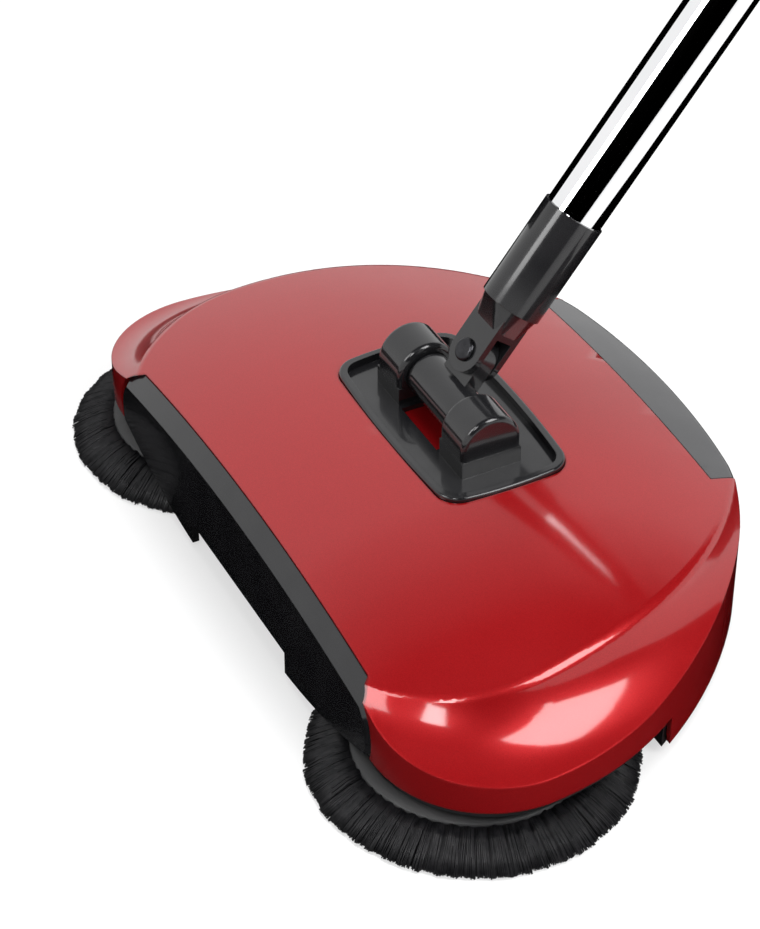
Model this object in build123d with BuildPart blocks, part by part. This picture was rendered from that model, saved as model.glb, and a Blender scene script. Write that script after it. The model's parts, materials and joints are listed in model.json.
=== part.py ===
"""Push sweeper with two side brushes, a roller brush, a dust box and a two-way handle joint.

Millimetres, +Z up, front towards -Y. The origin is on the floor, midway between the side brushes.
"""
import math
import os

from build123d import *

# Side brushes and roller
brush_span = 236.6
brush_radius = 68.0
hub_radius = 45.0
hub_height = 5.0
hub_low_z = 8.5
side_strands = 130
strand_root_width = 1.3
strand_tip_width = 2.3
strand_thickness = 1.0
strand_stagger = 1.6
backing_depth = 2.5
roller_core_radius = 11.0
roller_sleeve = 1.5
roller_gap = 2.5
roller_rows = 6
strands_per_row = 27
roller_strand_width = 1.4
floor_gap = 0.2

# Head outline, right half, front to rear
front_y = -46.0
corner_x = 122.0
side_x = 172.0
side_y = 6.0
hip_x = 158.0
hip_y = 60.0
tail_x = 103.0
tail_y = 129.0
rear_x = 62.0
rear_corner_y = 150.2
rear_y = 155.5

# Crown and side coves of the cover
crown_y = 50.0
crown_z = 71.0
crown_radius_x = 720.0
crown_radius_y = 320.0
cove_radius = 42.0
cove_floor_z = 32.2
cove_wall_x = 137.0
cove_y = 17.6
cove_rear_axis_x = -9.0
cove_front_axis_x = 84.0
cove_front_tilt = 7.0
ridge_fillet = 6.0
ridge_edge_length = 40.0
ridge_edge_x = 90.0
ridge_edge_z = 47.0
cover_wall = 2.5
skirt_z = 20.0
skirt_tail_z = 6.0
step_y = 69.0

# Front lip
lip_proud = 0.8
lip_wall = 3.0
lip_back_y = -40.0
lip_slope = 6.0
lip_corner_x = 97.0
lip_corner_z = 27.5
lip_corner_radius = 24.0
lip_corner_bevel = 3.0
mouth_half = 45.5
mouth_z = 14.4
guard_z = 3.5
guard_mid_x = 87.0
guard_mid_z = 10.5
guard_end_z = 22.5

# Base plate
base_wall = 2.5
deck_z = 15.5
pan_z = 4.0
rim_top_z = 26.0
chamber_front_y = -38.0
chamber_back_y = 33.0
chamber_top_z = 48.0
chamber_wall_x = 46.0
bay_half = 71.0
bay_front_y = 95.0
bay_wall_top_z = 36.0
glide_radius = 8.0
glide_x = 56.0
glide_y = 142.0
glide_fillet = 1.0

# Wheels and drive train
wheel_radius = 26.0
wheel_y = 64.0
wheel_x = 59.0
wheel_width = 14.0
tyre_depth = 3.5
wheel_gap = 3.0
wheel_holes = 6
wheel_hole_radius = 3.75
tread_count = 28
tread_width = 2.0
tread_depth = 0.8
pin_radius = 3.0
shaft_z = 30.0
gear_module = 1.0
drive_teeth = 36
idler_teeth = 40
shaft_teeth = 18
gear_x = 50.5
gear_width = 6.5
gear_backlash = 0.3
gear_addendum = 0.8
gear_dedendum = 1.2
pressure_angle = 20.0
bevel_teeth = 16
bevel_radius = 9.0
bevel_face = 3.0
# Radius as a share of the pitch radius, and half thickness as a share of the tooth pitch
bevel_flank = [(0.87, 0.29), (1.0, 0.21), (1.08, 0.13)]
post_x = 98.0
bush_wall = 1.5
bush_flange = 1.0

# Dust box
tray_wall = 1.8
tray_front_y = 37.0
tray_top_z = 44.0
sill_height = 7.0
cap_front_y = 135.5
cap_wall = 2.5
cap_fillet = 3.0
pull_half = 30.0
pull_radius = 8.0
pull_z = 24.0
box_screw_x = 50.0
box_screw_z = 26.0

# Handle plate and pivot
plate_y = 52.0
plate_half_x = 51.0
plate_half_y = 28.5
plate_bulge = 2.5
plate_corner = 11.0
plate_floor_z = 67.0
plate_thickness = 2.5
plate_rim_z = 70.6
plate_rim_width = 3.2
plate_fillet = 1.0
axle_y = 51.0
axle_z = 79.5
axle_radius = 4.0
block_inner_x = 18.0
block_length = 19.5
block_radius = 13.5
block_fillet = 2.25
saddle_top_z = 75.0
pivot_screw_y = 9.2
knuckle_radius = 10.0
knuckle_gap = 0.6
knuckle_fillet = 1.0

# Handle, with distances along it from the pivot axle
handle_lean = 37.6
pin_reach = 21.4
tongue_half = 3.7
ear_thickness = 2.8
ear_half = 9.5
rivet_lip = 2.0
rivet_height = 1.5
rivet_fillet = 1.3
yoke_base = 33.0
socket_start = 46.5
socket_end = 92.0
socket_wall = 0.9
tube_radius = 12.5
tube_wall = 0.4
tube_start = 52.0
tube_length = 255.0
coupler_ring = 5.0
coupler_spigot = 30.0
grip_length = 118.0
grip_radius = 15.5
grip_fillet = 2.0
end_tab_length = 26.0
end_tab_thickness = 8.0
hang_radius = 4.5

# Fits and fasteners
running = 0.05
seat = 0.3
joint_gap = 0.3
screw_radius = 1.5
screw_head_radius = 3.5
screw_head = 2.2
boss_radius = 4.5
screw_bite = 12.0

# Worked-out places
brush_x = brush_span / 2
lip_half = lip_corner_x + lip_corner_radius
deck_top_z = deck_z + base_wall
pan_top_z = pan_z + base_wall
pocket_z = plate_floor_z - plate_thickness
roller_radius = shaft_z - floor_gap
roller_half = chamber_wall_x - roller_gap
chamber_outer_x = chamber_wall_x + base_wall
base_inset = cover_wall + seat
axle_wall_x = wheel_x + wheel_width + wheel_gap
bush_radius = pin_radius + running + bush_wall
cover_screw_places = [(62.0, -30.0, deck_z), (148.0, 50.0, deck_z), (98.0, 110.0, pan_z)]
lean = math.radians(handle_lean)
along = (0, math.sin(lean), math.cos(lean))
handle_plane = Plane(origin=(0, axle_y, axle_z), x_dir=(1, 0, 0), z_dir=along)
across = (0, -math.cos(lean), math.sin(lean))
ear_plane = Plane(origin=(0, axle_y, axle_z), x_dir=(1, 0, 0), z_dir=across)
big = 2 * rear_y

os.makedirs("parts", exist_ok=True)


def save(builder, name):
    """Label a finished piece and write its file."""
    builder.part.label = name
    export_step(builder.part, f"parts/{name}.step")


def cove(inset):
    """Cutter for the right side: one sweep to the rear, and a tighter one that rises to the front."""
    low = cove_floor_z - inset
    wall = cove_wall_x - inset
    bend = cove_radius + inset
    tilt = math.radians(cove_front_tilt)
    rear_axis = Axis((cove_rear_axis_x, cove_y, 0), (0, 0, 1))
    front_axis = Axis((cove_front_axis_x, cove_y, low), (math.sin(tilt), 0, math.cos(tilt)))
    with BuildPart() as cutter:
        for axis, arc in ((rear_axis, 90), (front_axis, -90)):
            with BuildSketch(Plane(origin=(0, cove_y, 0), x_dir=(1, 0, 0), z_dir=(0, -1, 0))):
                with BuildLine():
                    Polyline((wall + bend, low), (wall + big, low), (wall + big, big), (wall, big),
                             (wall, low + bend))
                    RadiusArc((wall, low + bend), (wall + bend, low), -bend)
                make_face()
            revolve(axis=axis, revolution_arc=arc)
    return cutter.part


def head_form(inset):
    """Solid head: the outline drawn up to the crown, with a cove along each side, moved in by inset."""
    with BuildPart() as form:
        with BuildSketch():
            with BuildLine():
                front = Line((0, front_y), (corner_x, front_y))
                corner = TangentArc(front @ 1, (side_x, side_y), tangent=front % 1)
                side = TangentArc(corner @ 1, (hip_x, hip_y), tangent=corner % 1)
                tail = TangentArc(side @ 1, (tail_x, tail_y), tangent=side % 1)
                TangentArc(tail @ 1, (rear_x, rear_corner_y), tangent=tail % 1)
                mirror(about=Plane.YZ)
                ThreePointArc((rear_x, rear_corner_y), (0, rear_y), (-rear_x, rear_corner_y))
            make_face()
            if inset:
                offset(amount=-inset)
        extrude(amount=crown_z + cover_wall)
        top = crown_z - inset
        reach = side_x + cover_wall
        shoulder = crown_z - crown_radius_x + math.sqrt((crown_radius_x - inset) ** 2 - reach**2)
        with BuildSketch(Plane.XZ.offset(-crown_y)):
            with BuildLine():
                ThreePointArc((-reach, shoulder), (0, top), (reach, shoulder))
                Polyline((reach, shoulder), (reach, -crown_z), (-reach, -crown_z), (-reach, shoulder))
            make_face()
        revolve(axis=Axis((0, crown_y, crown_z - crown_radius_y), (1, 0, 0)), mode=Mode.INTERSECT)
        side_cove = cove(inset)
        add(side_cove, mode=Mode.SUBTRACT)
        mirror(side_cove, about=Plane.YZ, mode=Mode.SUBTRACT)
    return form.part


def plate_outline(grow):
    """Handle plate's outline: four bulging sides with round corners."""
    half_x = plate_half_x + grow
    low_y = plate_y - plate_half_y - grow
    high_y = plate_y + plate_half_y + grow
    with BuildSketch() as outline:
        with BuildLine():
            ThreePointArc((-half_x, low_y), (0, low_y - plate_bulge), (half_x, low_y))
            ThreePointArc((half_x, low_y), (half_x + plate_bulge, plate_y), (half_x, high_y))
            ThreePointArc((half_x, high_y), (0, high_y + plate_bulge), (-half_x, high_y))
            ThreePointArc((-half_x, high_y), (-half_x - plate_bulge, plate_y), (-half_x, low_y))
        make_face()
        fillet(outline.vertices(), plate_corner + grow)
    return outline.sketch


def gear_outline(teeth, tooth_angle):
    """Faceted involute spur profile with one tooth centred on tooth_angle, in radians."""
    pitch = teeth * gear_module / 2
    pressure = math.radians(pressure_angle)
    base = pitch * math.cos(pressure)
    tip = pitch + gear_addendum * gear_module
    root = pitch - gear_dedendum * gear_module

    def half_angle(radius):
        roll = math.acos(min(1, base / radius))
        spread = math.tan(pressure) - pressure - math.tan(roll) + roll
        return math.pi / (2 * teeth) - gear_backlash / (4 * pitch) + spread

    radii = sorted({root, max(root, base), pitch, (pitch + tip) / 2, tip})
    points = []
    for tooth in range(teeth):
        centre = tooth_angle + tooth * 2 * math.pi / teeth
        flank = [(radius, half_angle(radius)) for radius in radii]
        for radius, half in flank:
            points.append((radius * math.cos(centre - half), radius * math.sin(centre - half)))
        for radius, half in reversed(flank):
            points.append((radius * math.cos(centre + half), radius * math.sin(centre + half)))
    return points


def bevel_outline(scale, tooth_angle):
    """Straight bevel profile in a plane across its axis, scaled towards the cone's point."""
    pitch_angle = 2 * math.pi / bevel_teeth
    points = []
    for tooth in range(bevel_teeth):
        centre = tooth_angle + tooth * pitch_angle
        sides = [(share, -turn) for share, turn in bevel_flank]
        sides += [(share, turn) for share, turn in reversed(bevel_flank)]
        for share, turn in sides:
            radius = share * bevel_radius * scale
            angle = centre + turn * pitch_angle
            points.append((radius * math.cos(angle), radius * math.sin(angle)))
    return points


# Idler place: above the line from the wheel to the brush shaft, in mesh with both
pitch_drive = drive_teeth * gear_module / 2
pitch_idler = idler_teeth * gear_module / 2
pitch_shaft = shaft_teeth * gear_module / 2
span = math.hypot(wheel_y, shaft_z - wheel_radius)
to_idler = pitch_drive + pitch_idler
from_idler = pitch_idler + pitch_shaft
foot = (to_idler**2 - from_idler**2 + span**2) / (2 * span)
rise = math.sqrt(to_idler**2 - foot**2)
step_back = -wheel_y / span
step_up = (shaft_z - wheel_radius) / span
idler_y = wheel_y + foot * step_back + rise * step_up
idler_z = wheel_radius + foot * step_up - rise * step_back

# Tooth angles in the YZ plane that put the train in mesh
drive_angle = math.atan2(idler_z - wheel_radius, idler_y - wheel_y)
idler_angle = drive_angle + math.pi + math.pi / idler_teeth
to_shaft_angle = math.atan2(shaft_z - idler_z, -idler_y)
idler_pitch_angle = 2 * math.pi / idler_teeth
idler_lag = (to_shaft_angle - idler_angle) % idler_pitch_angle
shaft_angle = to_shaft_angle + math.pi + idler_lag * pitch_idler / pitch_shaft + math.pi / shaft_teeth

outer_form = head_form(0)
inner_form = head_form(cover_wall)
base_form = head_form(base_inset)
rim_form = head_form(base_inset + base_wall)


def lip_outline(grow):
    """Room that the front lip takes: straight in the middle, with round ends, grown by a clearance."""
    depth = big + lip_back_y + grow
    with BuildPart() as room:
        with Locations((0, lip_back_y + grow, 0)):
            Box(2 * lip_corner_x, depth, big, align=(Align.CENTER, Align.MAX, Align.CENTER))
        for hand in (1, -1):
            with Locations(Location((hand * lip_corner_x, lip_back_y + grow, lip_corner_z), (90, 0, 0))):
                Cylinder(lip_corner_radius + grow, depth, align=(Align.CENTER, Align.CENTER, Align.MIN))
    return room.part


# Top cover: red shell
with BuildPart() as cover_fittings:
    with BuildSketch(Plane.XY.offset(pocket_z - cover_wall)):
        add(plate_outline(seat + cover_wall))
    extrude(amount=crown_z - pocket_z + cover_wall)
    for x, y, z in cover_screw_places:
        with Locations((x, y, z + base_wall), (-x, y, z + base_wall)):
            Cylinder(boss_radius, crown_z, align=(Align.CENTER, Align.CENTER, Align.MIN))
    add(inner_form, mode=Mode.INTERSECT)

with BuildPart() as top_cover:
    add(outer_form)
    high_edges = top_cover.edges().filter_by(lambda edge: edge.center().Z > ridge_edge_z)
    side_edges = high_edges.filter_by(lambda edge: abs(edge.center().X) > ridge_edge_x)
    fillet(side_edges.filter_by(lambda edge: edge.length > ridge_edge_length), ridge_fillet)
    add(inner_form, mode=Mode.SUBTRACT)
    add(cover_fittings.part)
    with BuildSketch(Plane.XY.offset(pocket_z)):
        add(plate_outline(seat))
    extrude(amount=crown_z, mode=Mode.SUBTRACT)
    with Locations((0, front_y, 0)):
        Box(2 * big, 2 * (step_y - front_y), 2 * skirt_z, mode=Mode.SUBTRACT)
    Box(2 * big, 2 * big, 2 * skirt_tail_z, mode=Mode.SUBTRACT)
    add(lip_outline(seat), mode=Mode.SUBTRACT)
    with Locations((0, cap_front_y - seat, 0)):
        Box(2 * bay_half, big, big, align=(Align.CENTER, Align.MIN, Align.CENTER), mode=Mode.SUBTRACT)
    for x, y, z in cover_screw_places:
        with Locations((x, y, z), (-x, y, z)):
            Cylinder(screw_radius + running, 2 * (base_wall + screw_bite), mode=Mode.SUBTRACT)
    for hand in (1, -1):
        with Locations((hand * (block_inner_x + block_length / 2), axle_y, pocket_z)):
            with Locations((0, pivot_screw_y, 0), (0, -pivot_screw_y, 0)):
                Cylinder(screw_radius + running, 4 * cover_wall, mode=Mode.SUBTRACT)
save(top_cover, "top_cover")


def crown_height(x, y, inset):
    """Height of the crown above a point of the plan."""
    ring = crown_radius_y - crown_radius_x + math.sqrt((crown_radius_x - inset) ** 2 - x**2)
    return crown_z - crown_radius_y + math.sqrt(ring**2 - (y - crown_y) ** 2)


def lip_form(inset):
    """Head form with its upper front edge sloped off."""
    face_y = front_y + inset
    ends = crown_height(corner_x, face_y, inset) - lip_slope
    middle = crown_height(0, face_y, inset) - lip_slope
    with BuildPart() as form:
        add(head_form(inset))
        with BuildSketch(Plane.XZ.offset(-face_y)):
            with BuildLine():
                ThreePointArc((-corner_x, ends), (0, middle), (corner_x, ends))
                Polyline((corner_x, ends), (corner_x, big), (-corner_x, big), (-corner_x, ends))
            make_face()
        extrude(amount=big, dir=(0, 1, 1), mode=Mode.SUBTRACT)
    return form.part


# Front lip: bumper across the nose, with a mouth between two guards
with BuildPart() as lip_bevels:
    for hand in (1, -1):
        side = Align.MIN if hand > 0 else Align.MAX
        with Locations((hand * lip_corner_x, front_y - lip_proud, 0)):
            Box(big, lip_corner_bevel, big, align=(side, Align.MIN, Align.CENTER))
        with Locations(Location((hand * lip_corner_x, front_y - lip_proud, lip_corner_z), (-90, 0, 0))):
            Cone(lip_corner_radius - lip_corner_bevel, lip_corner_radius, lip_corner_bevel,
                 align=(Align.CENTER, Align.CENTER, Align.MIN), mode=Mode.SUBTRACT)

with BuildPart() as front_lip:
    add(lip_form(-lip_proud))
    add(lip_form(lip_wall - lip_proud), mode=Mode.SUBTRACT)
    add(lip_outline(0), mode=Mode.INTERSECT)
    add(lip_bevels.part, mode=Mode.SUBTRACT)
    with BuildSketch(Plane.XZ.offset(-lip_back_y)):
        with BuildLine():
            Polyline((0, -guard_z), (0, mouth_z), (mouth_half, mouth_z), (mouth_half, guard_z))
            ThreePointArc((mouth_half, guard_z), (guard_mid_x, guard_mid_z), (lip_half, guard_end_z))
            Polyline((lip_half, guard_end_z), (lip_half + lip_wall, guard_end_z),
                     (lip_half + lip_wall, -guard_z), (0, -guard_z))
        make_face()
        mirror(about=Plane.YZ)
    extrude(amount=big, mode=Mode.SUBTRACT)
save(front_lip, "front_lip")

# Base plate: front deck, rear pan, roller chamber, wheel wells, dust bay and bearing posts
with BuildPart() as front_hollow:
    add(rim_form)
    with Locations((0, step_y - base_wall, deck_top_z)):
        Box(2 * big, 2 * big, big, align=(Align.CENTER, Align.MAX, Align.MIN), mode=Mode.INTERSECT)

with BuildPart() as rear_hollow:
    add(rim_form)
    with Locations((0, step_y, pan_top_z)):
        Box(2 * big, 2 * big, big, align=(Align.CENTER, Align.MIN, Align.MIN), mode=Mode.INTERSECT)

well_front_y = wheel_y - wheel_radius - wheel_gap
well_back_y = wheel_y + wheel_radius + wheel_gap / 2
gear_slot_x = gear_x + gear_width + wheel_gap / 2
post_top_z = shaft_z + bush_radius + base_wall
hub_top_z = hub_low_z + hub_height
with BuildPart() as base_plate:
    add(base_form)
    with Locations((0, 0, rim_top_z)):
        Box(2 * big, 2 * big, big, align=(Align.CENTER, Align.CENTER, Align.MIN), mode=Mode.SUBTRACT)
    Box(2 * big, 2 * big, 2 * pan_z, mode=Mode.SUBTRACT)
    with Locations((0, step_y - base_wall, 0)):
        Box(2 * big, 2 * big, 2 * deck_z, align=(Align.CENTER, Align.MAX, Align.CENTER), mode=Mode.SUBTRACT)
    add(front_hollow.part, mode=Mode.SUBTRACT)
    add(rear_hollow.part, mode=Mode.SUBTRACT)
    # Roller opening, throat and bay for the dust box
    with Locations((0, chamber_front_y, 0)):
        Box(2 * chamber_wall_x, bay_front_y - chamber_front_y, big,
            align=(Align.CENTER, Align.MIN, Align.CENTER), mode=Mode.SUBTRACT)
    with Locations((0, chamber_back_y, pan_z)):
        Box(2 * chamber_outer_x, bay_front_y - chamber_back_y, base_wall,
            align=(Align.CENTER, Align.MIN, Align.MIN))
    with Locations((0, bay_front_y, pan_top_z)):
        Box(2 * bay_half, big, big, align=(Align.CENTER, Align.MIN, Align.MIN), mode=Mode.SUBTRACT)
    for hand in (1, -1):
        inward = (Align.MIN, Align.MIN, Align.MIN) if hand > 0 else (Align.MAX, Align.MIN, Align.MIN)
        with Locations((hand * chamber_wall_x, chamber_front_y, pan_z)):
            Box(base_wall, bay_front_y - chamber_front_y, chamber_top_z - pan_z, align=inward)
        with Locations((hand * chamber_wall_x, bay_front_y - base_wall, pan_z)):
            Box(bay_half + base_wall - chamber_wall_x, base_wall, bay_wall_top_z - pan_z, align=inward)
        with Locations((hand * bay_half, bay_front_y - base_wall, pan_z)):
            Box(base_wall, glide_y - bay_front_y, bay_wall_top_z - pan_z, align=inward)
        # Wheel well and gear slot
        with Locations((hand * chamber_outer_x, well_front_y, 0)):
            Box(axle_wall_x - chamber_outer_x, well_back_y - well_front_y, 2 * rim_top_z,
                align=(inward[0], Align.MIN, Align.CENTER), mode=Mode.SUBTRACT)
        with Locations((hand * chamber_outer_x, idler_y - pitch_idler, 0)):
            Box(gear_slot_x - chamber_outer_x, 2 * pitch_idler, 2 * rim_top_z,
                align=(inward[0], Align.MIN, Align.CENTER), mode=Mode.SUBTRACT)
        with Locations((hand * axle_wall_x, well_front_y, deck_z)):
            Box(base_wall, bay_front_y - well_front_y, bay_wall_top_z - deck_z, align=inward)
        with Locations((hand * axle_wall_x, step_y - base_wall, pan_z)):
            Box(base_wall, bay_front_y - step_y + base_wall, deck_top_z - pan_z, align=inward)
        # Bearings
        with Locations((hand * post_x, 0, deck_z)):
            Box(base_wall, 2 * (bush_radius + base_wall), post_top_z - deck_z,
                align=(inward[0], Align.CENTER, Align.MIN))
        with Locations((hand * brush_x, 0, hub_top_z + seat)):
            Cylinder(bush_radius + base_wall, deck_top_z - hub_top_z - seat,
                     align=(Align.CENTER, Align.CENTER, Align.MIN))
        with Locations((hand * brush_x, 0, deck_z)):
            Cylinder(bush_radius + running, big, mode=Mode.SUBTRACT)
    with Locations(Location((0, 0, shaft_z), (0, 90, 0))):
        Cylinder(bush_radius + running, big, mode=Mode.SUBTRACT)
    with Locations(Location((0, wheel_y, wheel_radius), (0, 90, 0)),
                   Location((0, idler_y, idler_z), (0, 90, 0))):
        Cylinder(pin_radius + running, 2 * bay_half + big / 2, mode=Mode.SUBTRACT)
    for x, y, z in cover_screw_places:
        with Locations((x, y, z), (-x, y, z)):
            Cylinder(screw_radius + seat, 4 * base_wall, mode=Mode.SUBTRACT)
save(base_plate, "base_plate")


def screws(places, direction, length):
    """Group of pan-head screws, each placed at its head's bearing face and pointing along direction."""
    with BuildPart() as group:
        for place in places:
            plane = Plane(origin=place, z_dir=direction)
            with BuildSketch(plane):
                Circle(screw_radius)
            extrude(amount=length)
            with BuildSketch(plane):
                Circle(screw_head_radius)
            extrude(amount=-screw_head)
    return group


mirrored_places = [(hand * x, y, z) for x, y, z in cover_screw_places for hand in (1, -1)]
cover_screws = screws(mirrored_places, (0, 0, 1), base_wall + screw_bite)
save(cover_screws, "cover_screws")

with BuildPart() as rear_glides:
    with BuildSketch():
        with Locations((glide_x, glide_y), (-glide_x, glide_y)):
            Circle(glide_radius)
    extrude(amount=pan_z)
    fillet(rear_glides.edges().group_by(Axis.Z)[0], glide_fillet)
save(rear_glides, "rear_glides")


# Bushes for the brush shaft and the two spindles
def bush(plane):
    """Flanged bush whose sleeve starts at the plane and fills one wall."""
    with BuildPart() as sleeve:
        with BuildSketch(plane):
            Circle(bush_radius)
            Circle(pin_radius + running, mode=Mode.SUBTRACT)
        extrude(amount=base_wall)
        with BuildSketch(plane.offset(base_wall)):
            Circle(bush_radius + bush_wall)
            Circle(pin_radius + running, mode=Mode.SUBTRACT)
        extrude(amount=bush_flange)
    return sleeve.part


with BuildPart() as shaft_bushes:
    for hand in (1, -1):
        for x in (chamber_wall_x, post_x):
            add(bush(Plane(origin=(hand * x, 0, shaft_z), z_dir=(hand, 0, 0))))
save(shaft_bushes, "shaft_bushes")

with BuildPart() as spindle_bushes:
    for hand in (1, -1):
        add(bush(Plane.XY.offset(deck_z).move(Location((hand * brush_x, 0, 0)))))
save(spindle_bushes, "spindle_bushes")


# Wheels, on fixed axles
def cross_plane(x, y, z):
    """Plane across X, whose own axes are Y and Z."""
    return Plane(origin=(x, y, z), x_dir=(0, 1, 0), z_dir=(1, 0, 0))


gear_end_x = gear_x + gear_width
rim_radius = wheel_radius - tyre_depth
with BuildPart() as right_wheel_hub:
    with BuildSketch(cross_plane(wheel_x, wheel_y, wheel_radius)):
        Circle(rim_radius)
    extrude(amount=wheel_width)
    for face_x, direction in ((wheel_x, 1), (wheel_x + wheel_width, -1)):
        with BuildSketch(cross_plane(face_x, wheel_y, wheel_radius)):
            Circle(rim_radius - base_wall)
            Circle(2 * pin_radius, mode=Mode.SUBTRACT)
        extrude(amount=direction * (wheel_width - base_wall) / 2, mode=Mode.SUBTRACT)
    with BuildSketch(cross_plane(gear_end_x, wheel_y, wheel_radius)):
        Circle(2 * pin_radius)
    extrude(amount=wheel_x - gear_end_x)
    with BuildSketch(cross_plane(wheel_x, wheel_y, wheel_radius)):
        with PolarLocations((rim_radius + pin_radius) / 2, wheel_holes):
            Circle(wheel_hole_radius)
    extrude(amount=wheel_width, mode=Mode.SUBTRACT)
    with BuildSketch(cross_plane(gear_end_x, wheel_y, wheel_radius)):
        Circle(pin_radius + running)
    extrude(amount=wheel_width + wheel_x, mode=Mode.SUBTRACT)
save(right_wheel_hub, "right_wheel_hub")

with BuildPart() as right_tyre:
    with BuildSketch(cross_plane(wheel_x, wheel_y, wheel_radius)):
        Circle(wheel_radius)
        Circle(rim_radius + running, mode=Mode.SUBTRACT)
        with PolarLocations(wheel_radius, tread_count, start_angle=-90 + 180 / tread_count):
            Rectangle(2 * tread_depth, tread_width, mode=Mode.SUBTRACT)
    extrude(amount=wheel_width)
save(right_tyre, "right_tyre")

with BuildPart() as right_wheel_axle:
    with BuildSketch(cross_plane(chamber_wall_x, wheel_y, wheel_radius)):
        Circle(pin_radius)
    extrude(amount=axle_wall_x + base_wall - chamber_wall_x)
save(right_wheel_axle, "right_wheel_axle")

# Spur train: wheel, idler, brush shaft
for gear_name, teeth, gear_y, gear_z, angle in (
    ("drive_gear", drive_teeth, wheel_y, wheel_radius, drive_angle),
    ("idler_gear", idler_teeth, idler_y, idler_z, idler_angle),
    ("shaft_gear", shaft_teeth, 0, shaft_z, shaft_angle),
):
    with BuildPart() as gear:
        with BuildSketch(cross_plane(gear_x, gear_y, gear_z)):
            with BuildLine():
                Polyline(*gear_outline(teeth, angle), close=True)
            make_face()
            Circle(pin_radius + running, mode=Mode.SUBTRACT)
        extrude(amount=gear_width)
    save(gear, gear_name)

with BuildPart() as idler_pin:
    with BuildSketch(cross_plane(chamber_wall_x, idler_y, idler_z)):
        Circle(pin_radius)
    extrude(amount=gear_end_x + joint_gap - chamber_wall_x)
    with BuildSketch(cross_plane(gear_end_x + joint_gap, idler_y, idler_z)):
        Circle(pin_radius + bush_wall)
    extrude(amount=bush_flange)
save(idler_pin, "idler_pin")

# Brush shaft, roller and bevel gears
pinion_x = brush_x - bevel_radius
bevel_scale = (bevel_radius - bevel_face) / bevel_radius
shaft_half = pinion_x + bevel_face
with BuildPart() as brush_shaft:
    with BuildSketch(cross_plane(-shaft_half, 0, shaft_z)):
        Circle(pin_radius)
    extrude(amount=2 * shaft_half)
save(brush_shaft, "brush_shaft")

with BuildPart() as roller_core:
    with BuildSketch(cross_plane(-roller_half, 0, shaft_z)):
        Circle(roller_core_radius)
        Circle(pin_radius + running, mode=Mode.SUBTRACT)
    extrude(amount=2 * roller_half)
save(roller_core, "roller_core")

sleeve_radius = roller_core_radius + roller_sleeve
strand_tip_radius = math.sqrt(roller_radius**2 - (roller_strand_width / 2) ** 2)
row_pitch = 2 * (roller_half - roller_strand_width) / strands_per_row
with BuildPart() as roller_strand:
    with BuildSketch(Plane.XY.offset(roller_core_radius + roller_sleeve / 2)):
        Rectangle(roller_strand_width, roller_strand_width)
    extrude(amount=strand_tip_radius - roller_core_radius - roller_sleeve / 2)

with BuildPart() as roller_bristles:
    with BuildSketch(cross_plane(-roller_half, 0, shaft_z)):
        Circle(sleeve_radius)
        Circle(roller_core_radius + running, mode=Mode.SUBTRACT)
    extrude(amount=2 * roller_half)
    spots = []
    for row in range(roller_rows):
        for index in range(strands_per_row):
            turn = 360 / roller_rows * (row + index / strands_per_row) + 180
            strand_x = (index + 0.5) * row_pitch - roller_half + roller_strand_width
            spots.append(Location((strand_x, 0, shaft_z), (turn, 0, 0)))
    with Locations(*spots):
        add(roller_strand.part)
save(roller_bristles, "roller_bristles")

with BuildPart() as right_pinion:
    for face_x, scale in ((pinion_x, 1), (pinion_x + bevel_face, bevel_scale)):
        with BuildSketch(cross_plane(face_x, 0, shaft_z)):
            with BuildLine():
                Polyline(*bevel_outline(scale, -math.pi / 2), close=True)
            make_face()
    loft(ruled=True)
    with BuildSketch(cross_plane(pinion_x, 0, shaft_z)):
        Circle(2 * pin_radius)
    extrude(amount=-bevel_radius / 2)
    with BuildSketch(cross_plane(pinion_x, 0, shaft_z)):
        Circle(pin_radius + running)
    extrude(amount=bevel_radius, both=True, mode=Mode.SUBTRACT)
save(right_pinion, "right_pinion")

# Right side brush: spindle, bevel gear, hub, bristles and screw
bevel_z = shaft_z - bevel_radius
brush_plane = Plane.XY.move(Location((brush_x, 0, 0)))
with BuildPart() as right_bevel_gear:
    for level, scale in ((bevel_z, 1), (bevel_z + bevel_face, bevel_scale)):
        with BuildSketch(brush_plane.offset(level)):
            with BuildLine():
                Polyline(*bevel_outline(scale, math.pi + math.pi / bevel_teeth), close=True)
            make_face()
    loft(ruled=True)
    with BuildSketch(brush_plane.offset(deck_top_z + bush_flange + joint_gap)):
        Circle(2 * pin_radius)
    extrude(amount=bevel_z - deck_top_z - bush_flange - joint_gap)
    with BuildSketch(brush_plane):
        Circle(pin_radius + running)
    extrude(amount=shaft_z, mode=Mode.SUBTRACT)
save(right_bevel_gear, "right_bevel_gear")

with BuildPart() as right_spindle:
    with BuildSketch(brush_plane.offset(hub_low_z)):
        Circle(pin_radius)
    extrude(amount=bevel_z + bevel_face - hub_low_z)
    with BuildSketch(brush_plane.offset(hub_low_z)):
        Circle(screw_radius + running)
    extrude(amount=hub_height, mode=Mode.SUBTRACT)
save(right_spindle, "right_spindle")

backing_radius = hub_radius - backing_depth
with BuildPart() as right_brush_hub:
    with BuildSketch(brush_plane.offset(hub_low_z)):
        Circle(backing_radius - running)
        Circle(pin_radius + running, mode=Mode.SUBTRACT)
    extrude(amount=hub_height)
    with BuildSketch(brush_plane.offset(hub_low_z)):
        Circle(backing_radius - backing_depth)
        Circle(3 * pin_radius, mode=Mode.SUBTRACT)
    extrude(amount=hub_height - base_wall / 2, mode=Mode.SUBTRACT)
save(right_brush_hub, "right_brush_hub")

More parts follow.
